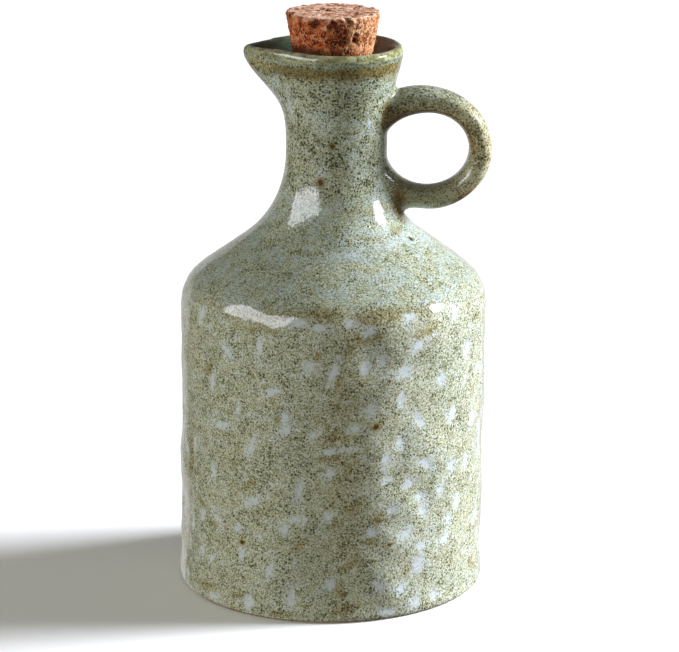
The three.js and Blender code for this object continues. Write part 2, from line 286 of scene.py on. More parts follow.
def face_outwards(piece):
    only(piece)
    bpy.ops.object.mode_set(mode="EDIT")
    bpy.ops.mesh.select_all(action="SELECT")
    bpy.ops.mesh.normals_make_consistent(inside=False)
    bpy.ops.object.mode_set(mode="OBJECT")


def write_mask(piece, name, values):
    piece.data.attributes.new(name, "FLOAT", "POINT").data.foreach_set("value", values)


def group_points(piece, name, weights):
    group = piece.vertex_groups.new(name=name)
    for index in np.flatnonzero(weights > 0.01):
        group.add([int(index)], float(weights[index]), "REPLACE")
    return name


def smoothstep(value, low, high):
    """A soft step from 0 to 1 as a value goes from low to high."""
    share = np.clip((value - low) / (high - low), 0, 1)
    return share * share * (3 - 2 * share)


def between(value, start, full, ebb, end):
    """Rises from 0 to 1 from start to full, and falls back from ebb to end."""
    return smoothstep(value, start, full) * (1 - smoothstep(value, ebb, end))


def turn_between(start, end):
    return np.arctan2(np.sin(end - start), np.cos(end - start))


# -------------------------------------------------------------------------------------------- bottle
def station_point(station, reach):
    """A station's own point, or the handle of its curve at a reach along its lean."""
    lean = math.radians(station[2])
    return np.array([station[0] + reach * math.sin(lean), station[1] + reach * math.cos(lean)])


def outline(stations):
    """Smooth curves of (radius, height) from station to station, without the first one's own point."""
    points = []
    for start, end in zip(stations, stations[1:]):
        a, b = station_point(start, 0), station_point(start, start[4])
        c, d = station_point(end, -end[3]), station_point(end, 0)
        for step in range(1, end[5] + 1):
            t = step / end[5]
            points.append(a * (1 - t) ** 3 + 3 * b * t * (1 - t) ** 2 + 3 * c * t * t * (1 - t) + d * t**3)
    return points


def bottle_profile():
    """The (radius, height) points of the outside, from the foot to the rim, and of the inside, down to the throat."""
    foot = [
        (BODY_RADIUS - FOOT_ROUND * (1 - math.sin(turn)), FOOT_ROUND * (1 - math.cos(turn)))
        for turn in np.linspace(0, math.pi / 2, FOOT_STEPS + 1)
    ]
    wall = [(BODY_RADIUS, height) for height in np.linspace(FOOT_ROUND, WALL_TOP, WALL_STEPS + 1)[1:]]
    throat = [(THROAT_RADIUS, height) for height in np.linspace(THROAT_TOP, THROAT_FLOOR, THROAT_STEPS + 1)[1:]]
    return foot + wall + outline(OUTSIDE), outline(INSIDE) + throat


def throw(name, profile, segments):
    """Draws a round body up from its foot, ring by ring, as on the wheel."""
    radius, height = profile[0]
    bpy.ops.object.select_all(action="DESELECT")
    bpy.ops.mesh.primitive_circle_add(
        vertices=segments, radius=radius * MM, fill_type="NGON", location=(0, 0, height * MM)
    )
    piece = take_new(name)
    bpy.ops.object.mode_set(mode="EDIT")
    bpy.ops.mesh.select_all(action="SELECT")
    for next_radius, next_height in profile[1:]:
        rise = (0, 0, (next_height - height) * MM)
        widen = next_radius / radius
        bpy.ops.mesh.extrude_region_move(TRANSFORM_OT_translate={"value": rise})
        bpy.ops.transform.resize(value=(widen, widen, 1), center_override=(0, 0, 0))
        radius, height = next_radius, next_height
    bpy.ops.object.mode_set(mode="OBJECT")
    face_outwards(piece)
    return piece


def dent(azimuth, height):
    """How far the hand-pressed dents push the wall in."""
    depth = np.zeros_like(azimuth)
    for i in range(DENTS):
        across = BODY_RADIUS * turn_between(azimuth, DENT_START + i * GOLDEN_ANGLE)
        along = height - (DENT_LOW + (DENT_HIGH - DENT_LOW) * (i + 0.5) / DENTS)
        depth += DENT_DEPTH * np.exp(-(across**2 + along**2) / DENT_SPREAD**2)
    for hollow_azimuth, hollow_height, wide, tall, deep in FRONT_HOLLOWS:
        across = BODY_RADIUS * turn_between(azimuth, math.radians(hollow_azimuth))
        depth += deep * np.exp(-((across / wide) ** 2) - ((height - hollow_height) / tall) ** 2)
    return depth * smoothstep(height, 0, DENT_LOW) * (1 - smoothstep(height, DENT_HIGH, SHOULDER_TOP))


def spout_pull(azimuth, height):
    """How far the pinched spout is drawn out."""
    def pull(turn):
        return 1 / np.cos(np.maximum(turn, 0)) - 1

    away = np.hypot(turn_between(azimuth, SPOUT_AZIMUTH), SPOUT_TIP_ROUND)
    share = pull(SPOUT_HALF_ANGLE - away) / pull(SPOUT_HALF_ANGLE - SPOUT_TIP_ROUND)
    return SPOUT_REACH * share * smoothstep(height, SPOUT_START, SPOUT_FULL)


def pinch_and_press(points):
    """The round bottle with its spout pinched, its rim and neck a little out of true, and its wall dented."""
    x, y, height = points.T.copy()
    azimuth, radius = np.arctan2(y, x), np.maximum(np.hypot(x, y), 1e-6)
    outside = (height < THROAT_FLOOR - 0.1) | (radius > np.interp(height, *zip(*WALL_MIDDLE)))
    free = outside | (height > THROAT_TOP)
    pull = np.where(free, spout_pull(azimuth, height), 0)
    beside_hole, along_hole = azimuth / NECK_FULLER_TURN, (height - HOLE_Z) / NECK_FULLER_RISE
    fuller = NECK_FULLER * np.exp(-(beside_hole**2) - along_hole**2)
    stretch = 1 + (pull + np.where(outside, fuller - dent(azimuth, height), 0)) / radius
    lift = RIM_LIFT * (1 + np.cos(azimuth - RIM_HIGH_SIDE)) / 2 * smoothstep(height, SPOUT_START, SPOUT_FULL)
    x = x * stretch + LEAN * np.minimum(height / LEAN_HEIGHT, 1)
    x += np.where(outside, 0, THROAT_OFFSET * (1 - smoothstep(height, THROAT_TOP, LIP_HEIGHT)))
    rise = np.where(free, lift - SPOUT_DROP * pull / SPOUT_REACH, 0)
    return np.stack([x, y * stretch, height + rise], axis=1)


def bend_strap(points):
    """The plain torus bent into the strap of the ring handle."""
    x, y, z = points.T
    around = np.arctan2(y, x)
    towards_neck = -np.cos(around)
    upper = around > 0
    flare, widening, begin = (np.where(upper, a, b) for a, b in zip(UPPER_JOIN, LOWER_JOIN))
    swell = smoothstep(towards_neck, begin, JOIN_FULL) * (1 - smoothstep(towards_neck, JOIN_FULL, 1))
    at_neck = np.where(upper, *HOLE_HALF_WIDTH_AT_NECK)
    half_width = np.where(towards_neck > 0, at_neck, HOLE_HALF_WIDTH)
    hole_x, hole_z = half_width * np.cos(around), HOLE_HALF_HEIGHT * np.sin(around)
    out_x, out_z = hole_x / half_width**2, hole_z / HOLE_HALF_HEIGHT**2
    length = np.hypot(out_x, out_z)

    def squared(share):
        return np.sign(share) * np.abs(share) ** STRAP_SQUARENESS

    depth = (squared(np.hypot(x, y) - TORUS_ROUND) + 1) / 2 * (STRAP_THICKNESS + flare * swell)
    across = squared(z) * (STRAP_WIDTH + widening * swell) / 2
    x, z = HOLE_X + hole_x + depth * out_x / length, HOLE_Z + hole_z + depth * out_z / length
    return np.stack([x, -across, z], axis=1)


def surface_marks(points, marks):
    """How strongly each point lies in the nearest of some marks, which lie on the bottle's outside."""
    x, y, height = points.T
    azimuth = np.arctan2(y, x - LEAN * np.minimum(height / LEAN_HEIGHT, 1))
    outside, _ = bottle_profile()
    radii, heights = np.array(outside).T
    run = np.concatenate([[0], np.cumsum(np.hypot(np.diff(radii), np.diff(heights)))])
    up = np.interp(height, heights, run)
    strength = np.zeros(len(points))
    for mark_azimuth, mark_height, tilt, length, width, full in marks:
        along = up - np.interp(mark_height, heights, run)
        across = np.interp(mark_height, heights, radii) * turn_between(math.radians(mark_azimuth), azimuth)
        tilt = math.radians(tilt)
        lengthwise = (along * math.cos(tilt) + across * math.sin(tilt)) / (length / 2)
        crosswise = (across * math.cos(tilt) - along * math.sin(tilt)) / (width / 2)
        strength = np.maximum(strength, full * np.exp(-(lengthwise**2 + crosswise**2) * MARK_SHARPNESS))
    return strength


def scattered(count, heights, tilt, lengths, widths, strengths, all_round=True):
    """Marks as the glaze happened to run: azimuth, height, tilt, length, width and strength of each."""
    marks = []
    while len(marks) < count:
        azimuth, height, slant = rng.uniform(-180, 180), rng.uniform(*heights), rng.gauss(*tilt)
        mark = (azimuth, height, slant, *(rng.uniform(*limits) for limits in (lengths, widths, strengths)))
        if all_round or not FRONT[0] < azimuth < FRONT[1]:
            marks.append(mark)
    return marks


def scattered_pools():
    """The pools of the front, and the pools and smears all round."""
    front = [(*pool, 1) for pool in FRONT_POOLS]
    wall = scattered(*WALL_POOLS, all_round=False)
    return front + wall + scattered(*SHOULDER_SMEARS) + scattered(*NECK_SMEARS)


def scattered_patches():
    lengths, strengths = zip(*LONG_PATCHES_FAINTER)
    front = [(*patch, np.interp(patch[3], lengths, strengths)) for patch in FRONT_PATCHES]
    return front + scattered(*WALL_PATCHES, all_round=False)


def near(points, centre, size):
    """1 at a centre, falling off softly to nothing; size is one length or three."""
    return np.exp(-(((points - np.array(centre)) / np.array(size)) ** 2).sum(axis=1))


def thin_glaze(points):
    """Where the glaze has drawn back from the edges of the strap."""
    x, z = (points[:, 0] - HOLE_X) / HOLE_HALF_WIDTH, (points[:, 2] - HOLE_Z) / HOLE_HALF_HEIGHT
    around, depth = np.degrees(np.arctan2(z, x)), (np.hypot(x, z) - 1) * HOLE_HALF_WIDTH
    edges = [
        strength * np.exp(-(((depth - middle) / spread) ** 2)) * between(around, *turns)
        for strength, middle, spread, *turns in DRAWN_BACK
    ]
    return np.max(edges, axis=0)


def join_rust_and_groove_shade(points):
    """The dark brown glaze at the handle's upper join, painted shade in its crease and groove, and the brown patches
    at its lower one.
    """
    rust = sum(strength * near(points, middle, reach) for strength, middle, reach in JOIN_RUST_AND_GROOVE_SHADE)
    return np.minimum(rust, JOIN_RUST_AND_SHADE_MOST)


def place_on_bottle(azimuth, height):
    """The place on the bottle's outside at an azimuth and height, in metres."""
    radii, heights = np.array(bottle_profile()[0]).T
    radius = float(np.interp(height, heights, radii))
    turn = math.radians(azimuth)
    lean = LEAN * min(height / LEAN_HEIGHT, 1)
    return Vector((lean + radius * math.cos(turn), radius * math.sin(turn), height)) * MM


def make_jug():
    outside, inside = bottle_profile()
    jug = throw("jug_glazed", outside + inside, BOTTLE_SEGMENTS)
    put_points(jug, pinch_and_press(points_of(jug)))
    bpy.ops.object.select_all(action="DESELECT")
    rings, corners = TORUS_SEGMENTS
    bpy.ops.mesh.primitive_torus_add(
        major_segments=rings,
        minor_segments=corners,
        major_radius=TORUS_ROUND * MM,
        minor_radius=TORUS_TUBE * MM,
    )
    strap = take_new("strap")
    put_points(strap, bend_strap(points_of(strap)))
    for part in (jug, strap):
        face_outwards(part)
    use_modifier(jug, "BOOLEAN", object=strap, operation="UNION", solver="EXACT")
    bpy.data.objects.remove(strap)
    use_modifier(jug, "REMESH", mode="VOXEL", voxel_size=JUG_VOXEL * MM, use_smooth_shade=True)
    points = points_of(jug)
    joins = np.minimum(sum(near(points, middle, reach) for middle, reach in JOINS), 1)
    use_modifier(jug, "SMOOTH", factor=0.5, iterations=OTHER_SMOOTHING)
    joins = group_points(jug, "joins", joins)
    use_modifier(jug, "SMOOTH", factor=0.5, iterations=JOIN_SMOOTHING, vertex_group=joins)

    points, normals = points_of(jug), normals_of(jug)
    height = points[:, 2]
    on_wall = between(height, *WALL_RELIEF)
    lumps = bpy.data.textures.new("hand_lumps", "CLOUDS")
    lumps.noise_scale, lumps.noise_depth = LUMP_SIZE * MM, 1
    lumpy = LUMPS_ABOVE_WALL * between(height, *BOTTLE_RELIEF) + (1 - LUMPS_ABOVE_WALL) * on_wall
    use_modifier(
        jug,
        "DISPLACE",
        texture=lumps,
        texture_coords="LOCAL",
        strength=-LUMP_HEIGHT * MM,
        mid_level=LUMP_MIDDLE,
        vertex_group=group_points(jug, "wall", lumpy),
    )

    pools, patches = scattered_pools(), scattered_patches()
    shell = np.hypot(points[:, 0] - LEAN, points[:, 1])
    on_strap = smoothstep(shell, *STRAP_BEYOND) * between(height, *STRAP_HEIGHTS) * (points[:, 0] > 0)
    pool, rust = (surface_marks(points, marks) * (1 - on_strap) for marks in (pools, patches))
    pricked = sum(
        near(points, tuple(place_on_bottle(azimuth, height_up) / MM), size * PINHOLE_SHARE)
        for azimuth, height_up, size in PINHOLES
    )
    sunk = POOL_DEPTH * pool * on_wall + PINHOLE_DEPTH * pricked
    put_points(jug, points_of(jug) - normals * sunk[:, None])
    keep_inside(jug, "jug")
    flat = points_of(jug)
    flat[flat[:, 2] < FLAT_BELOW, 2] = 0
    put_points(jug, flat)

    inwards = -(normals[:, 0] * (points[:, 0] - LEAN) + normals[:, 1] * points[:, 1]) / np.maximum(shell, 1)
    mouth = smoothstep(inwards, *TURNED_INWARDS) * (height > THROAT_FLOOR) * (points[:, 0] < MOUTH_TO_X)
    write_mask(jug, "pool", pool)
    write_mask(jug, "rust", rust)
    # The strap's thin edges and the joins' brown glaze, with painted shade in the upper join's groove.
    write_mask(jug, "thin_rust_and_groove_shade", thin_glaze(points) * on_strap + join_rust_and_groove_shade(points))
    write_mask(jug, "strap", on_strap)
    write_mask(jug, "mouth", mouth)
    only(jug)
    bpy.ops.object.shade_smooth()
    return jug


# ---------------------------------------------------------------------------------------------- cork
def cork_blank():
    """The plain tapered cork with its edges eased."""
    bpy.ops.object.select_all(action="DESELECT")
    bpy.ops.mesh.primitive_cone_add(
        vertices=CORK_SEGMENTS,
        radius1=(CORK_TOP_RADIUS - CORK_TAPER * CORK_HEIGHT) * MM,
        radius2=CORK_TOP_RADIUS * MM,
        depth=CORK_HEIGHT * MM,
        end_fill_type="NGON",
        location=(CORK_X * MM, 0, (CORK_TOP - CORK_HEIGHT / 2) * MM),
    )
    cork = take_new("cork_stopper")
    bpy.ops.object.mode_set(mode="EDIT")
    mesh = bmesh.from_edit_mesh(cork.data)
    for edge in mesh.edges:
        edge.select = abs(edge.verts[0].co.z - edge.verts[1].co.z) < 1e-6
    bmesh.update_edit_mesh(cork.data)
    bpy.ops.mesh.bevel(offset=CORK_EDGE * MM, segments=3)
    bpy.ops.object.mode_set(mode="OBJECT")
    use_modifier(cork, "REMESH", mode="VOXEL", voxel_size=CORK_VOXEL * MM, use_smooth_shade=True)
    return cork


def pressed_granules(points):
    """The tone of the granule at each point, the crevices between granules and the hollows where one is missing."""
    granules = kdtree.KDTree(CORK_GRANULES)
    tones, missing = [], []
    for index in range(CORK_GRANULES):
        seed = (
            CORK_X + rng.uniform(-GRANULE_SPREAD, GRANULE_SPREAD),
            rng.uniform(-GRANULE_SPREAD, GRANULE_SPREAD),
            rng.uniform(CORK_TOP - CORK_HEIGHT - 1, CORK_TOP + 1),
        )
        granules.insert(seed, index)
        off_seam = math.hypot(seed[0] - SEAM[0], seed[1] - SEAM[1]) / SEAM_WIDTH
        tones.append(rng.random())
        missing.append(rng.random() < SUNK_SHARE + SUNK_AT_SEAM * math.exp(-(off_seam**2)))
    granules.balance()
    tone, gap, pit = (np.zeros(len(points)) for _ in range(3))
    for index, point in enumerate(points):
        (_, first, near_by), (_, _, next_by) = granules.find_n(point, 2)
        tone[index], gap[index], pit[index] = tones[first], next_by - near_by, missing[first]
    within = smoothstep(gap, 0, GRANULE_GAP)
    return tone, 1 - within, pit * within


def broken_edge(points):
    """How deep the cork is chipped at each point, and how much of that is the wear round its rim."""
    x, y, height = points.T
    azimuth, radius = np.arctan2(y, x - CORK_X), np.hypot(y, x - CORK_X)
    chips = list(CORK_CHIPS)
    turn = 0
    while turn < 360:
        chips.append((turn, *(rng.uniform(*limits) for limits in RIM_CHIPS)))
        turn += rng.uniform(*RIM_CHIP_SPACING)
    chipped, rim_worn = np.zeros(len(points)), np.zeros(len(points))
    for chip_azimuth, chip_height, reach, depth in chips:
        across = radius * turn_between(azimuth, math.radians(chip_azimuth))
        away = np.sqrt(across**2 + (height - chip_height) ** 2 + (radius - CORK_TOP_RADIUS) ** 2)
        broken_off = depth * (1 - smoothstep(away, CHIP_BOTTOM, reach))
        chipped = np.maximum(chipped, broken_off)
        if reach < RIM_CHIP_REACH:
            rim_worn = np.maximum(rim_worn, broken_off)
    return chipped, rim_worn


def make_cork():
    cork = cork_blank()
    points, normals = points_of(cork), normals_of(cork)
    tone, crevice, hollow = pressed_granules(points)
    chipped, rim_worn = broken_edge(points)
    above_throat = smoothstep(points[:, 2], *RELIEF_FROM)
    relief = CREVICE_DEPTH * crevice + HOLLOW_DEPTH * hollow + GRANULE_DEPTH * tone
    sunk = above_throat * (relief + CHIP_DEPTH * chipped) + CORK_INSET
    put_points(cork, points - normals * sunk[:, None])
    use_modifier(cork, "SMOOTH", factor=0.3, iterations=1)
    keep_inside(cork, "cork")
    write_mask(cork, "tone", tone)
    write_mask(cork, "seam", near(points, SEAM, SEAM_REACH))
    write_mask(cork, "crevice", crevice)
    write_mask(cork, "hollow", np.maximum(hollow, smoothstep(chipped, *CHIP_SHADE_DEPTHS)))
    write_mask(cork, "fresh", smoothstep(rim_worn, *FRESH_WEAR))
    only(cork)
    bpy.ops.object.shade_smooth()
    return cork


# ----------------------------------------------------------------------------------------- materials
def paint(red, green, blue):
    """A colour as a chart gives it, 0 to 255, as light."""
    def light(value):
        value /= 255
        return value / 12.92 if value <= 0.04045 else ((value + 0.055) / 1.055) ** 2.4

    return (light(red), light(green), light(blue), 1)


def feed(tree, socket, value):
    if isinstance(value, bpy.types.NodeSocket):
        tree.links.new(value, socket)
    else:
        socket.default_value = value


def add(tree, kind, inputs=None, **settings):
    made = tree.nodes.new(kind)
    for name, value in settings.items():
        setattr(made, name, value)
    for name, value in (inputs or {}).items():
        feed(tree, made.inputs[name], value)
    return made


def sum_up(tree, operation, *values):
    return add(tree, "ShaderNodeMath", dict(enumerate(values)), operation=operation).outputs[0]


def times(tree, first, second):
    return sum_up(tree, "MULTIPLY", first, second)


def times_add(tree, value, factor, added):
    return sum_up(tree, "MULTIPLY_ADD", value, factor, added)


def ramp(tree, value, low, high, start=0, end=1):
    """A soft step from start to end as a value goes from low to high."""
    inputs = {"Value": value, "From Min": low, "From Max": high, "To Min": start, "To Max": end}
    return add(tree, "ShaderNodeMapRange", inputs, interpolation_type="SMOOTHSTEP").outputs["Result"]


def blend(tree, share, first, second, mode="MIX"):
    made = add(tree, "ShaderNodeMix", data_type="RGBA", blend_type=mode)
    for index, value in ((0, share), (6, first), (7, second)):
        feed(tree, made.inputs[index], value)
    return made.outputs[2]


def step_at(tree, value, low, high, start=0, end=1):
    """A soft step between two lengths in millimetres."""
    return ramp(tree, value, low * MM, high * MM, start, end)


def zone(tree, value, start, full, ebb, end):
    """Rises from 0 to 1 from start to full, and falls back from ebb to end, all in millimetres."""
    return times(tree, step_at(tree, value, start, full), step_at(tree, value, ebb, end, 1, 0))


def cloud(tree, place, size, detail=2, rough=0.5):
    """Soft random patches of about a size in millimetres, around 0.5."""
    inputs = {"Vector": place, "Scale": 1 / (size * MM), "Detail": detail, "Roughness": rough}
    return add(tree, "ShaderNodeTexNoise", inputs).outputs["Fac"]


def stretched(tree, place, across, up):
    """The place scaled across and up, to draw a pattern out the other way."""
    return add(tree, "ShaderNodeMapping", {"Vector": place, "Scale": (across, across, up)}).outputs[0]


def mask(tree, name):
    return add(tree, "ShaderNodeAttribute", attribute_name=name).outputs["Fac"]


def object_place(tree):
    return add(tree, "ShaderNodeTexCoord").outputs["Object"]


def new_material(name):
    material = bpy.data.materials.new(name)
    material.use_nodes = True
    tree = material.node_tree
    return material, tree, tree.nodes["Principled BSDF"]


def speck_group():
    """Specks scattered at a spacing, each a little larger or smaller, that cover more where Cover is higher."""
    tree = bpy.data.node_groups.new("scattered_specks", "ShaderNodeTree")
    for name, kind in (("Place", "NodeSocketVector"), ("Spacing", "NodeSocketFloat"), ("Cover", "NodeSocketFloat")):
        tree.interface.new_socket(name, in_out="INPUT", socket_type=kind)
    for name in ("Speck", "Chance"):
        tree.interface.new_socket(name, in_out="OUTPUT", socket_type="NodeSocketFloat")
    given, result = tree.nodes.new("NodeGroupInput"), tree.nodes.new("NodeGroupOutput")
    scale = sum_up(tree, "DIVIDE", 1 / MM, given.outputs["Spacing"])
    cell = add(tree, "ShaderNodeTexVoronoi", {"Vector": given.outputs["Place"], "Scale": scale})
    chance = add(tree, "ShaderNodeSeparateColor", {0: cell.outputs["Color"]}).outputs[0]
    reach = times(tree, given.outputs["Cover"], times_add(tree, chance, 0.8, 0.6))
    speck = ramp(tree, sum_up(tree, "SUBTRACT", reach, cell.outputs["Distance"]), -0.04, 0.06)
    feed(tree, result.inputs["Speck"], speck)
    feed(tree, result.inputs["Chance"], chance)
    return tree


def specks(tree, group, place, spacing, cover):
    made = add(tree, "ShaderNodeGroup", node_tree=group)
    for name, value in (("Place", place), ("Spacing", spacing), ("Cover", cover)):
        feed(tree, made.inputs[name], value)
    return made.outputs["Speck"], made.outputs["Chance"]


def spot_on(jug, azimuth, height):
    """A place on the bottle's outside, brought onto the finished surface."""
    _, place, _, _ = jug.closest_point_on_mesh(place_on_bottle(azimuth, height))
    return place


def round_spots(tree, place, jug, spots):
    """The distance from each of some spots, and the spot's size in metres."""
    for azimuth, height, size in spots:
        inputs = {0: place, 1: spot_on(jug, azimuth, height)}
        away = add(tree, "ShaderNodeVectorMath", inputs, operation="DISTANCE").outputs["Value"]
        yield away, size * MM


def lip_glaze(tree, place, x, rough_z, grain, clusters, ground):
    """An ochre band, pale olive at the spout, then a broken blue-green line, an olive crest, and painted shade along
    the crest's lower edge.
    """
    band = zone(tree, rough_z, *LIP_BAND)
    at_spout = step_at(tree, times_add(tree, clusters, 8 * MM, x), *SPOUT_END, 1, 0)
    ochre = blend(tree, grain, paint(116, 104, 40), paint(80, 70, 20))
    pale_olive = blend(tree, grain, paint(164, 160, 110), paint(116, 110, 62))
    ground = blend(tree, times(tree, band, 0.85), ground, blend(tree, at_spout, ochre, pale_olive))

    kept = ramp(tree, cloud(tree, stretched(tree, place, 0.6, 1), 2.2, 2), 0.38, 0.6, 0.3, 0.75)
    kept = times(tree, kept, step_at(tree, x, *LINE_FULLER, 0.45, 1))
    blue_green = blend(tree, grain, paint(112, 128, 112), paint(66, 86, 72))
    ground = blend(tree, times(tree, zone(tree, rough_z, *LIP_LINE), kept), ground, blue_green)

    streaks = cloud(tree, stretched(tree, place, 0.6, 1.6), 1.8, 3)
    crest = blend(tree, ramp(tree, streaks, 0.36, 0.66), paint(102, 96, 44), paint(158, 160, 120))
    ground = blend(tree, times(tree, step_at(tree, rough_z, *LIP_CREST), 0.85), ground, crest)
    # Painted shade: a dark line along the lower edge of the crest's roll.
    ground = blend(tree, times(tree, zone(tree, rough_z, *LIP_ROLL_SHADE), kept), ground, paint(62, 68, 36))
    return ground, band


def glaze(group, jug):
    material, tree, shader = new_material("speckled_glaze")
    place = object_place(tree)
    x, _, z = add(tree, "ShaderNodeSeparateXYZ", {0: place}).outputs
    pool, rust, thin_rust_and_groove_shade, strap, mouth = (mask(tree, name) for name in ("pool", "rust", "thin_rust_and_groove_shade", "strap", "mouth"))
    ragged = sum_up(tree, "SUBTRACT", cloud(tree, place, 1.3, 3), 0.5)
    warmth = cloud(tree, stretched(tree, place, 1, 1.7), 12, 3)
    clusters = cloud(tree, place, 3.4, 2)
    grain = ramp(tree, cloud(tree, place, 0.55, 1), 0.42, 0.6, 0, 0.9)
    glint = ramp(tree, cloud(tree, place, 0.6, 0), 0.6, 0.74, 0, 0.6)
    on_shoulder, on_neck = zone(tree, z, *SHOULDER_GLAZE_AND_SHADE), step_at(tree, z, *NECK_GLAZE_AND_SHADE)
    rough_z = times_add(tree, cloud(tree, place, 5, 3), 3.5 * MM, z)

    # Where the coat is milky, hazy, stained with ochre, or worn, with painted shade in the upper join's groove
    milk = ramp(tree, times_add(tree, ragged, 1.7, pool), 0.2, 1.2, 0, 0.81)
    haze = times_add(tree, pool, 0.5, cloud(tree, stretched(tree, place, 1, 2), 6.5, 3))
    haze = ramp(tree, times_add(tree, on_shoulder, 0.07, haze), 0.48, 0.72)
    warm = ramp(tree, times_add(tree, ragged, 1.3, rust), 0.12, 1.05)
    warm = times(tree, warm, sum_up(tree, "SUBTRACT", 1, milk))
    worn_and_groove_shade = ramp(tree, times_add(tree, ragged, 0.9, thin_rust_and_groove_shade), 0.12, 0.95)

    # Ground: grey-green with a darker grain and pale glints, bluer where hazy, and olive on the strap
    ground = blend(tree, ramp(tree, warmth, 0.42, 0.62), paint(174, 179, 160), paint(176, 178, 154))
    ground = blend(tree, haze, ground, blend(tree, on_shoulder, paint(180, 188, 180), paint(168, 180, 175)))
    ground = blend(tree, grain, ground, blend(tree, warmth, paint(138, 144, 108), paint(146, 138, 98)))
    ground = blend(tree, glint, ground, paint(205, 206, 184))
    ground = blend(tree, times(tree, warm, 0.85), ground, paint(214, 200, 156), "MULTIPLY")
    # Painted shade: the neck is made darker towards the handle, where the handle's shadow falls on it.
    handle_shade_share = step_at(tree, times_add(tree, clusters, 8 * MM, x), *NECK_HANDLE_SHADE)
    neck_handle_shade = blend(tree, handle_shade_share, paint(254, 255, 254), paint(229, 232, 229))
    off_strap = times(tree, on_neck, sum_up(tree, "SUBTRACT", 1, strap))
    ground = blend(tree, off_strap, ground, neck_handle_shade, "MULTIPLY")
    # Painted shade: the shoulder, which faces up, is made a little darker.
    ground = blend(tree, on_shoulder, ground, paint(243, 247, 246), "MULTIPLY")
    # Painted light: the strap's olive is paler on its outer side, which faces the key light.
    olive = blend(tree, step_at(tree, x, *STRAP_LIT_SIDE), paint(126, 122, 72), paint(174, 169, 126))
    ground = blend(tree, times(tree, strap, 0.6), ground, olive)
    ground, band = lip_glaze(tree, place, x, rough_z, grain, clusters, ground)
    ground = blend(tree, milk, ground, paint(184, 192, 194))

    # Specks, fewer in the pools and on the lip, closer on the neck, and brown where the coat is stained
    cover = times_add(tree, ramp(tree, clusters, 0.32, 0.68), 0.16, 0.3)
    cover = times(tree, cover, ramp(tree, milk, 0.05, 0.7, 1, 0.1))
    cover = times(tree, cover, ramp(tree, haze, 0, 1, 1.05, 0.85))
    cover = times(tree, cover, step_at(tree, z, *CLOSER_SPECKS, 1, 1.12))
    cover = times(tree, cover, step_at(tree, rough_z, *FEWER_SPECKS, 1, 0.6))
    small, small_chance = specks(tree, group, place, SMALL_SPECKS, times_add(tree, warm, 0.06, cover))
    big, _ = specks(tree, group, place, BIG_SPECKS, times(tree, cover, ramp(tree, on_neck, 0, 1, 0.66, 0.74)))
    stain = sum_up(tree, "MAXIMUM", warm, sum_up(tree, "MAXIMUM", band, strap))
    dark = blend(tree, stain, blend(tree, small_chance, paint(62, 68, 32), paint(98, 96, 48)), paint(86, 66, 16))
    coat = blend(tree, times(tree, small, 0.84), ground, dark)
    deep = blend(tree, stain, blend(tree, on_neck, paint(50, 57, 28), paint(34, 42, 18)), paint(60, 44, 12))
    coat = blend(tree, times(tree, big, ramp(tree, strap, 0, 1, 0.9, 0.75)), coat, deep)

    # Brown where the glaze is thin and at the joins, darker still where strongest, as painted shade in the upper
    # join's groove; painted shade inside the mouth
    brown = blend(tree, grain, paint(212, 180, 120), paint(178, 138, 78))
    coat = blend(tree, times(tree, worn_and_groove_shade, 0.95), coat, brown, "MULTIPLY")
    coat = blend(tree, ramp(tree, worn_and_groove_shade, 0.86, 1, 0, 0.35), coat, paint(120, 104, 80), "MULTIPLY")
    # The inside of the mouth: blue-green turning brown towards the handle, and made dark as painted shade.
    inner = step_at(tree, times_add(tree, clusters, 10 * MM, x), *MOUTH_BROWNER)
    inner = blend(tree, inner, paint(56, 76, 62), paint(92, 70, 40))
    coat = blend(tree, times(tree, mouth, 0.8), coat, inner)

    # Iron spots with a rusty halo
    for away, size in round_spots(tree, place, jug, IRON_SPOTS):
        away = times_add(tree, ragged, 1.2 * MM, away)
        coat = blend(tree, ramp(tree, away, size * 0.6, size * 2.6, 0.95, 0), coat, paint(202, 168, 84), "MULTIPLY")
        coat = blend(tree, ramp(tree, away, size * 0.5, size * 1.2, 0.95, 0), coat, paint(58, 42, 4))

    # Pinholes with a raised ring, where a bubble burst in the glaze
    pinhole = 0
    for away, size in round_spots(tree, place, jug, PINHOLES):
        coat = blend(tree, ramp(tree, away, size * 0.35, size * 0.8, 0.95, 0), coat, paint(38, 34, 8))
        pinhole = sum_up(tree, "ADD", ramp(tree, away, size * 0.4, size, -1, 0), pinhole)
        pinhole = sum_up(tree, "ADD", ramp(tree, away, size * 1.1, size * 1.7, 0.4, 0), pinhole)

    # Bare clay under the foot and in a thin line round it
    foot_z = times_add(tree, cloud(tree, place, 4, 2), 0.9 * MM, z)
    clay_shown = step_at(tree, foot_z, *CLAY_LINE, 1, 0)
    clay = blend(tree, cloud(tree, place, 1.4, 4), paint(146, 116, 82), paint(112, 86, 58))
    coat = blend(tree, clay_shown, coat, clay)

    # Gloss, a little duller on the big specks, and the low relief of the coat
    gloss = times_add(tree, big, 0.1, ramp(tree, cloud(tree, place, 2.4, 2), 0.3, 0.7, 0.06, 0.14))
    roughness = sum_up(tree, "MAXIMUM", gloss, times(tree, clay_shown, 0.85))
    height = sum_up(tree, "ADD", cloud(tree, place, 2.6, 2), times(tree, big, -0.15))
    height = times_add(tree, pinhole, 3, height)
    height = times_add(tree, times(tree, clay_shown, cloud(tree, place, 0.4, 2)), 0.5, height)
    bump = add(tree, "ShaderNodeBump", {"Strength": 0.35, "Distance": 0.25 * MM, "Height": height})
    feed(tree, shader.inputs["Base Color"], coat)
    feed(tree, shader.inputs["Roughness"], roughness)
    feed(tree, shader.inputs["Normal"], bump.outputs["Normal"])
    shader.inputs["IOR"].default_value = 1.58
    return material


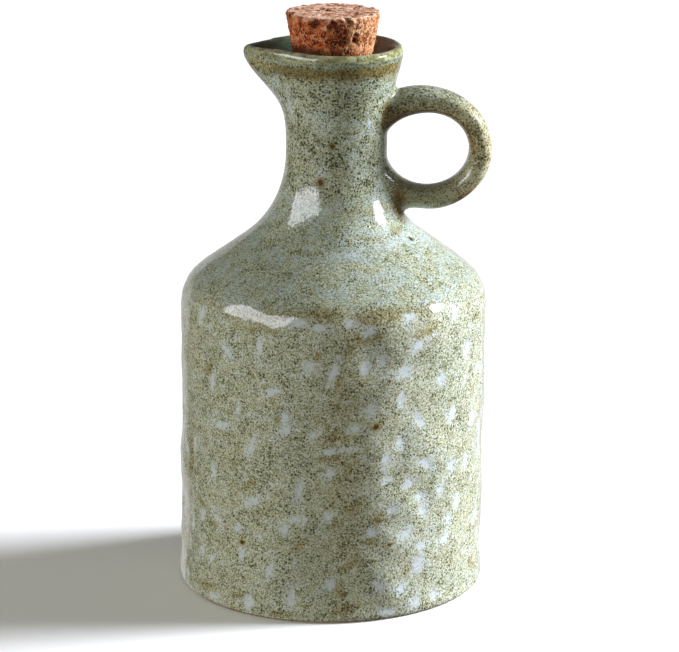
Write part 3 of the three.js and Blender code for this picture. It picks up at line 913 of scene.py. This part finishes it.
def slanted_pits(tree, group, place):
    """Short dark pits that lean this way and that, closer in some places."""
    pits = []
    for slant, spacing, most in CORK_PITS:
        inputs = {"Vector": place, "Rotation": (0.3, slant, 0), "Scale": (0.5, 0.5, 1.8)}
        slanted = add(tree, "ShaderNodeMapping", inputs, vector_type="TEXTURE").outputs[0]
        cover = ramp(tree, cloud(tree, place, 2.5, 2), 0.3, 0.7, 0.16, most)
        pits.append(specks(tree, group, slanted, spacing, cover)[0])
    return sum_up(tree, "MAXIMUM", sum_up(tree, "MAXIMUM", *pits[:2]), pits[2])


def cork_bark(group):
    material, tree, shader = new_material("pressed_cork")
    place = object_place(tree)
    x, _, z = add(tree, "ShaderNodeSeparateXYZ", {0: place}).outputs
    fine = sum_up(tree, "SUBTRACT", cloud(tree, place, 0.9, 3, 0.65), 0.5)
    tone = ramp(tree, times_add(tree, fine, 2, mask(tree, "tone")), 0, 1)
    on_top = step_at(tree, z, *CORK_TOP_EDGE)

    # Flesh: red-brown, paler towards the handle as painted light from the key on that side, palest on the top
    lit_side_share = step_at(tree, times_add(tree, cloud(tree, place, 4, 2), 8 * MM, x), *CORK_LIT_SIDE)
    red_brown = blend(tree, tone, paint(192, 96, 50), paint(220, 142, 94))
    tan = blend(tree, tone, paint(174, 116, 72), paint(220, 174, 126))
    flesh = blend(tree, lit_side_share, red_brown, tan)
    flesh = blend(tree, on_top, flesh, blend(tree, tone, paint(178, 124, 86), paint(242, 204, 172)))
    mottle = ramp(tree, cloud(tree, place, 0.45, 3), 0.5, 0.66, 0, 0.5)
    flesh = blend(tree, times(tree, mottle, ramp(tree, on_top, 0, 1, 1, 0.5)), flesh, paint(118, 52, 24))
    seam = times(tree, mask(tree, "seam"), ramp(tree, on_top, 0, 1, 0.65, 0))
    flesh = blend(tree, seam, flesh, paint(138, 66, 36))

    # Pits, painted shade in the crevices, hollows and deep chips, and the fresh cork in the chips of the rim
    pits = slanted_pits(tree, group, place)
    pit_dark = blend(tree, on_top, paint(66, 18, 2), paint(104, 52, 32))
    flesh = blend(tree, times(tree, pits, ramp(tree, on_top, 0, 1, 1, 0.6)), flesh, pit_dark)
    flesh = blend(tree, times(tree, mask(tree, "crevice"), 0.38), flesh, paint(104, 44, 18))
    broken = ramp(tree, cloud(tree, place, 0.8, 3), 0.4, 0.56)
    hollow = times(tree, mask(tree, "hollow"), ramp(tree, broken, 0, 1, 0.95, 0.55))
    flesh = blend(tree, hollow, flesh, paint(70, 20, 4))
    fresh = times(tree, mask(tree, "fresh"), ramp(tree, broken, 0, 1, 0.1, 0.85))
    flesh = blend(tree, fresh, flesh, paint(230, 190, 156))

    height = times_add(tree, pits, -0.8, cloud(tree, place, 0.6, 4, 0.65))
    bump = add(tree, "ShaderNodeBump", {"Strength": 0.8, "Distance": 0.3 * MM, "Height": height})
    feed(tree, shader.inputs["Base Color"], flesh)
    feed(tree, shader.inputs["Roughness"], ramp(tree, cloud(tree, place, 1, 2), 0.3, 0.7, 0.72, 0.92))
    feed(tree, shader.inputs["Normal"], bump.outputs["Normal"])
    shader.inputs["Specular IOR Level"].default_value = 0.12
    return material


def pale_floor():
    material, tree, shader = new_material("pale_floor")
    place = object_place(tree)
    tone = blend(tree, cloud(tree, place, 400, 2), paint(252, 251, 243), paint(253, 252, 245))
    feed(tree, shader.inputs["Base Color"], tone)
    shader.inputs["Roughness"].default_value = 0.6
    shader.inputs["Specular IOR Level"].default_value = 0.2
    return material


# ------------------------------------------------------------------------------- floor, light, camera
def aimed(location, target):
    return (Vector(target) - Vector(location)).to_track_quat("-Z", "Y").to_euler()


def soft_box(name, place, aim, width, height, power):
    bpy.ops.object.light_add(type="AREA", location=place, rotation=aimed(place, aim))
    lamp = bpy.context.object
    lamp.name = name
    lamp.data.shape, lamp.data.size, lamp.data.size_y = "RECTANGLE", width, height
    lamp.data.energy = power
    return lamp


def set_stage():
    bpy.ops.object.select_all(action="DESELECT")
    bpy.ops.mesh.primitive_plane_add(size=14, location=(0, 4, 0))
    floor = take_new("floor")
    floor.data.materials.append(pale_floor())
    floor.visible_diffuse = floor.visible_glossy = False
    key, shine, board, front, backdrop = (soft_box(*box) for box in SOFT_BOXES)
    shine.visible_diffuse = backdrop.visible_diffuse = backdrop.visible_camera = False
    board.visible_glossy = front.visible_glossy = False
    bpy.ops.object.light_add(type="SUN", rotation=aimed(SUN_FROM, (0, 0, 0)))
    sun = bpy.context.object
    sun.name = "even_light"
    sun.visible_glossy = False
    sun.data.energy, sun.data.angle = SUN_STRENGTH, SUN_SOFTNESS
    key.data.color = sun.data.color = COOL_LIGHT
    shine.data.color = COOL_SHINE

    world = bpy.data.worlds.new("studio")
    world.use_nodes = True
    tree = world.node_tree
    background = tree.nodes["Background"]
    background.inputs["Color"].default_value = ROOM_LIGHT
    mirrored = add(tree, "ShaderNodeLightPath").outputs["Is Glossy Ray"]
    feed(tree, background.inputs["Strength"], ramp(tree, mirrored, 0, 1, ROOM_STRENGTH, ROOM_IN_REFLECTIONS))
    bpy.context.scene.world = world

    bpy.ops.object.camera_add(location=CAMERA_PLACE, rotation=(CAMERA_TILT, 0, 0))
    camera = bpy.context.object
    camera.data.lens, camera.data.sensor_width = CAMERA_LENS, FILM_WIDTH
    camera.data.clip_end = 50
    bpy.context.scene.camera = camera
    bpy.context.scene.view_settings.view_transform = "Standard"


speckles = speck_group()
jug, cork = make_jug(), make_cork()
dressed = ((jug, "jug", "glaze", glaze(speckles, jug)), (cork, "cork", "cork", cork_bark(speckles)))
for piece, node, slot, material in dressed:
    piece.data.materials.clear()
    piece.data.materials.append(material)
    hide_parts(node)
    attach(piece, "root")
set_stage()
